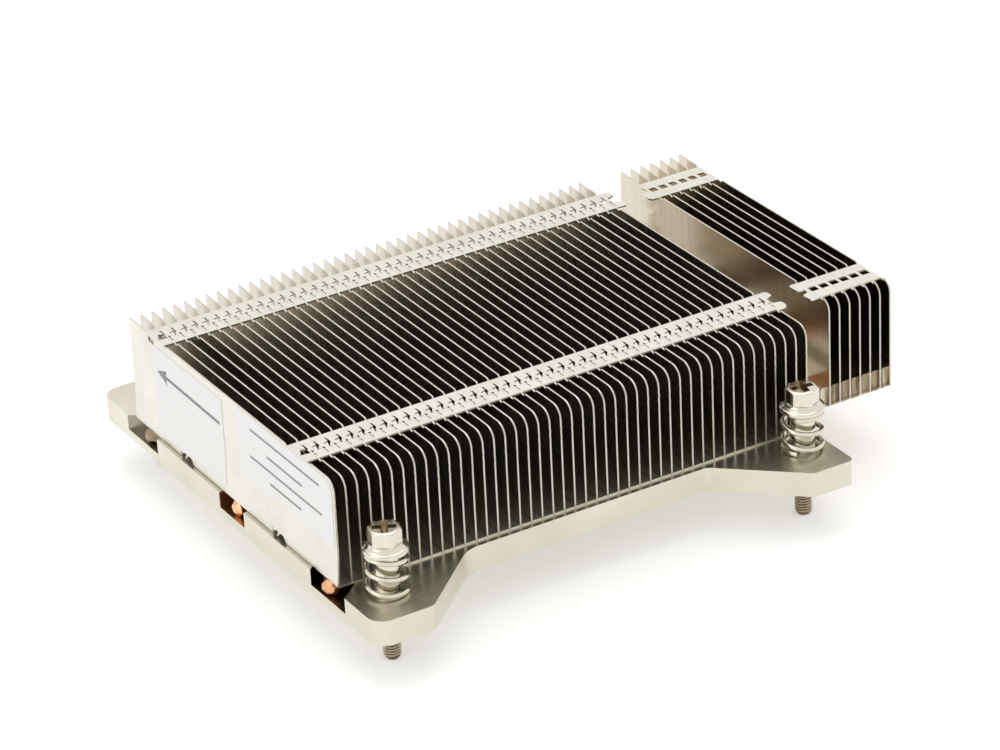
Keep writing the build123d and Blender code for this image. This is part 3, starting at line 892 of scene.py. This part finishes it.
outboard_nodes = sorted(name for name in nodes if name.startswith("outboard_fin"))
SADDLE_HALF = PIPE_WIDTH / 2 + SADDLE_CLEARANCE
saddles = [(y - SADDLE_HALF, y + SADDLE_HALF) for y in (-PIPE_SPREAD_Y, 0.0, PIPE_SPREAD_Y)]
for place, name in enumerate(outboard_nodes):
    low, high = box_mm(name)
    fin_mesh = bmesh.new()
    add_outboard_fin(fin_mesh, place == 0, low, high, saddles)
    side_high_y = (low[1] + SIDE_TAB_SETBACK + FIN_THICK + MARGIN) * MM
    side_top_z = (low[2] + SIDE_TAB_HEIGHT + MARGIN) * MM
    fin = finish_mesh(
        fin_mesh,
        f"folded_{name}",
        [stamped_material, outboard_reflection_material, cut_material, side_tab_shade_material],
        lambda face: outboard_finish(face, side_high_y, side_top_z),
    )
    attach(fin, "heatsink")
    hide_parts(name)


# Captive screws: rolled thread, grooved shank, flange with a skirt, hex head

SCREW_STEPS = 72
THREAD_PITCH = 0.5 * MM
THREAD_DEPTH = 0.28 * MM
THREAD_ROWS_PER_TURN = 8
THREAD_SHADE_R = 1.36 * MM
CREST_GAIN = 1.25
CREST_CUT = 0.1
TIP_INNER_R = 0.2 * MM
TIP_OUTER_R = 1.05 * MM
TIP_CHAMFER = 0.25 * MM
SHANK_R = 2.1 * MM
SHANK_CHAMFER = 0.1 * MM
STUB_R = 1.5 * MM
STUB_JOIN_R = 1.1 * MM
CORE_R = 1.8 * MM
SHANK_END_Z = -1.3 * MM
SPRING_SEAT_GAP = 0.05 * MM
RING_GROOVE = (0.2 * MM, 0.9 * MM)
HEX_FLATS = 5.2 * MM
HEX_CORNER_R = 2.86 * MM
HEX_FOOT = 1.2 * MM
HEAD_TOP_R = 2.2 * MM
HEAD_ROUNDING = 0.5 * MM
HEAD_ROUND_STEPS = 6
CROSS_REACH = 1.95 * MM
CROSS_WIDTH = 1.15 * MM
CROSS_FLOOR_REACH = 0.62 * CROSS_REACH
CROSS_FLOOR_WIDTH = 0.7 * CROSS_WIDTH
CROSS_DEPTH = 1.0 * MM
CROSS_POINT_DEPTH = 1.5 * MM
CROSS_SHADE_R = 2.09 * MM
CROSS_SHADE_DEPTHS = (0.05 * MM, 2 * MM)

# How each screw's hexagon and its cross are turned, in degrees
HEAD_TURN = {"near_left": -7.4, "near_right": -4.6, "far_left": 20.0, "far_right": 41.0}
CROSS_TURN = {"near_left": -28.0, "near_right": -8.0, "far_left": 10.0, "far_right": 60.0}

# Flange, from its underside up to the hexagon, as (radius, height) pairs in millimetres
FLANGE_PROFILE = [
    (3.62, 0.0),
    (3.80, 0.12),
    (3.86, 0.35),
    (3.82, 0.62),
    (3.66, 0.80),
    (3.45, 0.86),
    (3.42, 0.96),
    (3.30, 1.08),
    (3.12, 1.18),
    (3.05, 1.30),
    (2.95, 1.40),
    (2.88, 1.62),
    (2.60, 1.70),
]


def thread_radius(angle, height, fade):
    """A rolled V thread's radius, its crests lower where it fades out."""
    phase = (height / THREAD_PITCH - angle / (2 * pi)) % 1.0
    crest = 1.0 - abs(2.0 * phase - 1.0)
    crest = min(1.0, max(0.0, CREST_GAIN * crest - CREST_CUT))
    return STUB_R - THREAD_DEPTH * (1.0 - crest * fade)


def thread_rings(center, bottom, top):
    """Rings up a threaded stub, their radius following the thread."""
    rows = ceil((top - bottom) / THREAD_PITCH * THREAD_ROWS_PER_TURN)
    rings = []
    for row in range(rows + 1):
        height = bottom + (top - bottom) * row / rows
        fade = min(1.0, (height - bottom) / THREAD_PITCH, (top - height) / THREAD_PITCH)
        rings.append(
            round_ring(center, height, lambda angle: thread_radius(angle, height, fade), SCREW_STEPS)
        )
    return rings


def hex_ring(center, height, flats, limit, turn):
    """One ring round a hexagon, never further out than the chamfer's limit."""

    def hex_radius(angle):
        off_flat = (angle - turn + pi / 6) % (pi / 3) - pi / 6
        return min(flats / 2 / cos(off_flat), limit)

    return round_ring(center, height, hex_radius, SCREW_STEPS)


def cross_ring(center, height, reach, width, turn):
    """One loop round a cross, its arms set out by a turn."""
    half = width / 2
    ring = []
    for arm in range(4):
        angle = turn + arm * pi / 2
        along = Vector((cos(angle), sin(angle), 0))
        across = Vector((-sin(angle), cos(angle), 0))
        for out, side in ((reach, -half), (reach, half), (half, half)):
            ring.append(Vector((center[0], center[1], height)) + along * out + across * side)
    return ring


def add_crossed_top(mesh_data, edge, center, height, turn):
    """Closes a round edge with a flat face that has a tapered cross recess."""
    loops = [
        cross_ring(center, height, CROSS_REACH, CROSS_WIDTH, turn),
        cross_ring(center, height - CROSS_DEPTH, CROSS_FLOOR_REACH, CROSS_FLOOR_WIDTH, turn),
    ]
    rows = skin_rings(mesh_data, loops, closed_ends=False)
    corners = edge + rows[0]
    flat = [[v.co.copy() for v in edge], [v.co.copy() for v in rows[0]]]
    for triangle in tessellate_polygon(flat):
        mesh_data.faces.new([corners[i] for i in triangle])
    point = mesh_data.verts.new((center[0], center[1], height - CROSS_POINT_DEPTH))
    for i in range(len(rows[1])):
        mesh_data.faces.new((rows[1][i], rows[1][(i + 1) % len(rows[1])], point))


def add_stub(mesh_data, center, tip_z):
    """The threaded stub, from its tip up to the shank."""
    tip = [(TIP_INNER_R, tip_z), (TIP_OUTER_R, tip_z)]
    thread = thread_rings(center, tip_z + TIP_CHAMFER, SHANK_END_Z)
    skin_rings(mesh_data, lathe_rings(tip, center, SCREW_STEPS) + thread)


def add_shank(mesh_data, center, flange_z):
    """The grooved shank and the flange."""
    shank = [
        (STUB_JOIN_R, SHANK_END_Z),
        (SHANK_R - SHANK_CHAMFER, SHANK_END_Z),
        (SHANK_R, SHANK_END_Z + SHANK_CHAMFER),
        (SHANK_R, RING_GROOVE[0]),
        (CORE_R, RING_GROOVE[0]),
        (CORE_R, RING_GROOVE[1]),
        (SHANK_R, RING_GROOVE[1]),
        (SHANK_R, flange_z),
    ]
    flange = [(radius * MM, flange_z + height * MM) for radius, height in FLANGE_PROFILE]
    skin_rings(mesh_data, lathe_rings(shank + flange, center, SCREW_STEPS))


def add_head(mesh_data, center, foot_z, top_z, head_turn, cross_turn):
    """The hexagonal head, rounded at its top, with its cross recess."""
    rings = [hex_ring(center, foot_z, HEX_FLATS, HEX_CORNER_R, head_turn)]
    for step in range(HEAD_ROUND_STEPS + 1):
        angle = pi / 2 * step / HEAD_ROUND_STEPS
        limit = HEAD_TOP_R + (HEX_CORNER_R - HEAD_TOP_R) * cos(angle)
        height = top_z - HEAD_ROUNDING * (1 - sin(angle))
        rings.append(hex_ring(center, height, HEX_FLATS, limit, head_turn))
    rows = skin_rings(mesh_data, rings, closed_ends=False)
    mesh_data.faces.new(list(reversed(rows[0])))
    add_crossed_top(mesh_data, rows[-1], center, top_z, cross_turn)


def screw_finish(face, center, head_top_z):
    """0 for plating, 1 for the thread's crests, 2 for the recess and thread floor, which get painted
    shade.
    """
    middle = face.calc_center_median()
    off_axis = (middle - Vector((center[0], center[1], middle.z))).length
    if middle.z < SHANK_END_Z:
        return 1 if off_axis > THREAD_SHADE_R else 2
    shallow, deep = CROSS_SHADE_DEPTHS
    in_recess = off_axis < CROSS_SHADE_R and shallow < head_top_z - middle.z < deep
    return 2 if in_recess else 0


def make_screw(corner):
    """One captive screw in place of its plain CAD node."""
    low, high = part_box(f"screw_{corner}")
    center = ((low[0] + high[0]) / 2, (low[1] + high[1]) / 2)
    tip_z, top_z = low[2], high[2]
    flange_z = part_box(f"spring_{corner}")[1][2] + SPRING_SEAT_GAP
    head_turn, cross_turn = radians(HEAD_TURN[corner]), radians(CROSS_TURN[corner])
    screw = bmesh.new()
    add_stub(screw, center, tip_z)
    add_shank(screw, center, flange_z)
    add_head(screw, center, flange_z + HEX_FOOT, top_z, head_turn, cross_turn)
    obj = finish_mesh(
        screw,
        f"screw_detail_{corner}",
        [screw_material, thread_material, recess_shade_material],
        lambda face: screw_finish(face, center, top_z),
    )
    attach(obj, f"screw_{corner}")
    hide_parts(f"screw_{corner}")


for corner in CORNERS:
    make_screw(corner)


# Springs: round wire, open turns between two closed end turns

WIRE_SIDES = 16
SPRING_STEPS = 60
SPRING_MEAN_R = 3.27 * MM
SPRING_WIRE_R = 0.44 * MM
CLOSED_RISE_PER_TURN = 0.75 * MM
TOP_CLOSED_TURNS = 0.15

# Where each spring's lower end points in degrees, its turns, and how many lie closed at its foot
SPRING_FORM = {
    "near_left": (-25.0, 2.5, 0.25),
    "near_right": (219.0, 3.0, 0.85),
    "far_left": (20.0, 2.5, 0.25),
    "far_right": (80.0, 3.0, 0.85),
}


def spring_height(turn, turns, closed, bottom, top):
    """Height of the wire's middle after so many turns from the lower end."""
    open_end = turns - TOP_CLOSED_TURNS
    if turn < closed:
        return bottom + CLOSED_RISE_PER_TURN * turn
    if turn < open_end:
        open_start = bottom + CLOSED_RISE_PER_TURN * closed
        return open_start + (top - open_start) * (turn - closed) / (open_end - closed)
    return top


def wire_ring(middle, outward):
    """One ring of points round the wire."""
    ring = []
    for side in range(WIRE_SIDES):
        angle = 2 * pi * side / WIRE_SIDES
        upward = Vector((0, 0, SPRING_WIRE_R * sin(angle)))
        ring.append(middle + outward * SPRING_WIRE_R * cos(angle) + upward)
    return ring


def make_spring(corner):
    """One spring of round wire in place of its CAD node, pressed with its screw."""
    low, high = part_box(f"spring_{corner}")
    center = Vector(((low[0] + high[0]) / 2, (low[1] + high[1]) / 2, 0))
    bottom, top = low[2] + SPRING_WIRE_R, high[2] - SPRING_WIRE_R
    phase_degrees, turns, closed = SPRING_FORM[corner]
    count = int(turns * SPRING_STEPS)
    phase = radians(phase_degrees)
    spring = bmesh.new()
    rings = []
    for step in range(count + 1):
        turn = turns * step / count
        angle = phase - 2 * pi * turn
        outward = Vector((cos(angle), sin(angle), 0))
        middle = center + outward * SPRING_MEAN_R
        middle.z = spring_height(turn, turns, closed, bottom, top)
        rings.append(wire_ring(middle, outward))
    skin_rings(spring, rings)
    obj = finish_mesh(spring, f"spring_wire_{corner}", [screw_material])
    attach(obj, "heatsink")
    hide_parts(f"spring_{corner}")
    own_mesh(obj)


for corner in CORNERS:
    make_spring(corner)


# The far sticker, which follows the first fin's spread foot. It lies nearer than the CAD's
# flat one by a shift in millimetres.

STICKER_SHIFT = 0.7


def make_far_sticker():
    """The far sticker in place of its flat CAD node, a little nearer and bent at its foot."""
    low, high = box_mm("far_label")
    near_y, far_y = low[1] - STICKER_SHIFT, high[1] - STICKER_SHIFT
    outline = [(near_y, low[2]), (far_y, low[2]), (far_y, high[2]), (near_y, high[2])]
    sticker = bmesh.new()
    add_sheet(
        sticker,
        [outline],
        lambda y, z, w: Vector((low[0] + w, y, z)) * MM,
        high[0] - low[0],
    )
    cut_at_flare_heights(sticker, main_low[2])
    for vert in sticker.verts:
        vert.co.x -= flare_reach(vert.co.z / MM - main_low[2]) * MM
    obj = finish_mesh(sticker, "bent_far_label", [label_material])
    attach(obj, "heatsink")
    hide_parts("far_label")


make_far_sticker()


# Generic print on the far sticker: a plain arrow and plain bars

PRINT_LIFT = 0.015 * MM


def print_shape(name, outline, x):
    """A flat printed shape on a sticker's face, from (y, z) corners in millimetres."""
    shape = bmesh.new()
    corners = [shape.verts.new((x, y * MM, z * MM)) for y, z in outline]
    for triangle in tessellate_polygon([[Vector((y, z, 0)) for y, z in outline]]):
        shape.faces.new([corners[i] for i in triangle])
    obj = finish_mesh(shape, name, [print_material])
    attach(obj, "heatsink")


# In millimetres: the arrow's (y, z) places, its half widths and its barbs' reach, and then
# each bar's ends and height
ARROW_START, ARROW_NECK, ARROW_POINT = (3.73, 17.35), (22.9, 17.67), (26.24, 17.73)
SHAFT_HALF, HEAD_HALF, BARB = 0.32, 1.35, 0.2
BAR_HALF = 0.2
BARS = ((-30.4, -7.3, 21.1), (-24.5, -12.7, 18.35), (-30.7, -6.7, 15.9), (-23.6, -13.2, 13.6))

print_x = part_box("far_label")[0][0] - PRINT_LIFT
print_shape(
    "print_arrow",
    [
        (ARROW_START[0], ARROW_START[1] - SHAFT_HALF),
        (ARROW_START[0], ARROW_START[1] + SHAFT_HALF),
        (ARROW_NECK[0], ARROW_NECK[1] + SHAFT_HALF),
        (ARROW_NECK[0] - BARB, ARROW_NECK[1] + HEAD_HALF),
        ARROW_POINT,
        (ARROW_NECK[0] - BARB, ARROW_NECK[1] - HEAD_HALF),
        (ARROW_NECK[0], ARROW_NECK[1] - SHAFT_HALF),
    ],
    print_x,
)
for place, (near_y, far_y, z) in enumerate(BARS):
    print_shape(
        f"print_bar_{place + 1}",
        [
            (near_y, z - BAR_HALF),
            (far_y, z - BAR_HALF),
            (far_y, z + BAR_HALF),
            (near_y, z + BAR_HALF),
        ],
        print_x,
    )


# Camera, where the photograph was taken from

AZIMUTH, ELEVATION, ROLL = radians(-29.92), radians(27.5), radians(2.92)
CAMERA_PLACE = Vector((-0.3067, -0.5424, 0.3378))
SENSOR_WIDTH = 36.0
FOCAL_PIXELS = 4150.0
IMAGE_WIDTH = 1000.0
CLIP_NEAR, CLIP_FAR = 0.01, 20.0

back = Vector((sin(AZIMUTH) * cos(ELEVATION), -cos(AZIMUTH) * cos(ELEVATION), sin(ELEVATION)))
level_right = Vector((cos(AZIMUTH), sin(AZIMUTH), 0))
level_up = back.cross(level_right)
right = level_right * cos(ROLL) - level_up * sin(ROLL)
up = level_up * cos(ROLL) + level_right * sin(ROLL)
camera_data = bpy.data.cameras.new("camera")
camera_data.sensor_width = SENSOR_WIDTH
camera_data.lens = FOCAL_PIXELS / IMAGE_WIDTH * SENSOR_WIDTH
camera_data.clip_start = CLIP_NEAR
camera_data.clip_end = CLIP_FAR
camera = bpy.data.objects.new("camera", camera_data)
turn = Matrix((right, up, back)).transposed()
camera.matrix_world = Matrix.Translation(CAMERA_PLACE) @ turn.to_4x4()
bpy.context.scene.collection.objects.link(camera)
bpy.context.scene.camera = camera


# Floor and light

FLOOR_Z = cad_box[0][2]
FLOOR_HALF = 6.0
FLOOR_GLOW = 0.33
WORLD_SEEN = 1.0
WORLD_LIGHT = 0.75


def seen_directly(material):
    """1 for camera, glossy and transmission rays, 0 for the rays that light the object."""
    paths = add_node(material, "ShaderNodeLightPath")
    names = ("Is Camera Ray", "Is Glossy Ray", "Is Transmission Ray")
    return brightest(material, *[paths.outputs[name] for name in names])


def make_floor():
    """A white floor that keeps the object's shadow and looks white to the camera."""
    material, shader = new_material("studio_floor", FLOOR_COLOR, 0.9, metallic=0.0)
    grain = noise(material, (30, 30, 30), detail=2.0)
    tint(material, shader, grain, [(0.3, (0.855, 0.855, 0.858)), (0.7, (0.865, 0.865, 0.862))])
    glow = add_node(material, "ShaderNodeEmission")
    glow.inputs["Strength"].default_value = FLOOR_GLOW
    seen = add_node(material, "ShaderNodeMixShader")
    both = add_node(material, "ShaderNodeAddShader")
    output = material.node_tree.nodes["Material Output"]
    link(material, shader.outputs["BSDF"], both.inputs[0])
    link(material, glow.outputs["Emission"], both.inputs[1])
    link(material, seen_directly(material), seen.inputs["Fac"])
    link(material, shader.outputs["BSDF"], seen.inputs[1])
    link(material, both.outputs["Shader"], seen.inputs[2])
    link(material, seen.outputs["Shader"], output.inputs["Surface"])
    floor = bmesh.new()
    corners = ((-1, -1), (1, -1), (1, 1), (-1, 1))
    floor.faces.new([floor.verts.new((x * FLOOR_HALF, y * FLOOR_HALF, FLOOR_Z)) for x, y in corners])
    finish_mesh(floor, "studio_floor", [material])


def make_world():
    """A white room, a little dimmer as a light than as a background."""
    world = bpy.data.worlds.new("studio_world")
    bpy.context.scene.world = world
    world.use_nodes = True
    background = world.node_tree.nodes["Background"]
    background.inputs["Color"].default_value = (1.0, 1.0, 1.0, 1.0)
    strength = value_range(world, seen_directly(world), WORLD_LIGHT, WORLD_SEEN)
    link(world, strength, background.inputs["Strength"])


def area_light(name, place, size, power):
    """A soft square lamp that faces the object."""
    data = bpy.data.lights.new(name, "AREA")
    data.size = size
    data.energy = power
    light = bpy.data.objects.new(name, data)
    light.location = place
    light.rotation_mode = "QUATERNION"
    light.rotation_quaternion = (-Vector(place)).to_track_quat("-Z", "Y")
    bpy.context.scene.collection.objects.link(light)


make_floor()
make_world()
area_light("softbox_top", (0.1, 0.2, 0.9), 0.9, 2.5)
area_light("softbox_left", (-0.9, -0.1, 0.5), 0.7, 1.0)

bpy.context.scene.view_settings.view_transform = "Standard"
